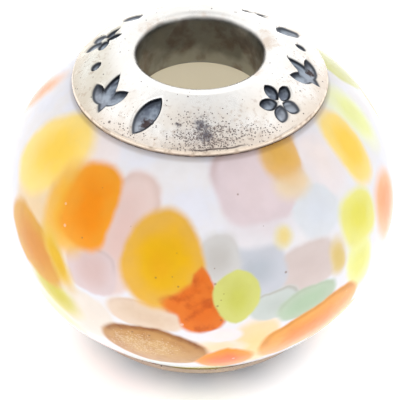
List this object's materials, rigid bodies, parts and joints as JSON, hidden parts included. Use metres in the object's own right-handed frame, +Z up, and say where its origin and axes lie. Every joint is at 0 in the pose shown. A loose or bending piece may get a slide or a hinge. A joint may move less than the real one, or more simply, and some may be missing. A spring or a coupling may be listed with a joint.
{
  "type": "european charm bead",
  "caption": "Round large-hole bead of white glass with fused coloured chips and a domed, ornamented silver cap in each end of its hole, to thread on a charm bracelet.",
  "frame": {"origin": "on the axis of the hole, at the face of the lower cap that the bead stands on", "axes": "+Z up along the hole, -Y towards the side that the picture shows, +X to its right"},
  "size_m": [0.0144, 0.0144, 0.0125],
  "materials": {
    "glass": "fire-polished opal white glass with translucent coloured chips fused in flush",
    "silver": "tumbled cast silver, darkened in its hollows and inside the hole"
  },
  "bodies": {
    "root": {"glass_bead": "glass", "upper_cap": "silver", "lower_cap": "silver"}
  },
  "joints": []
}
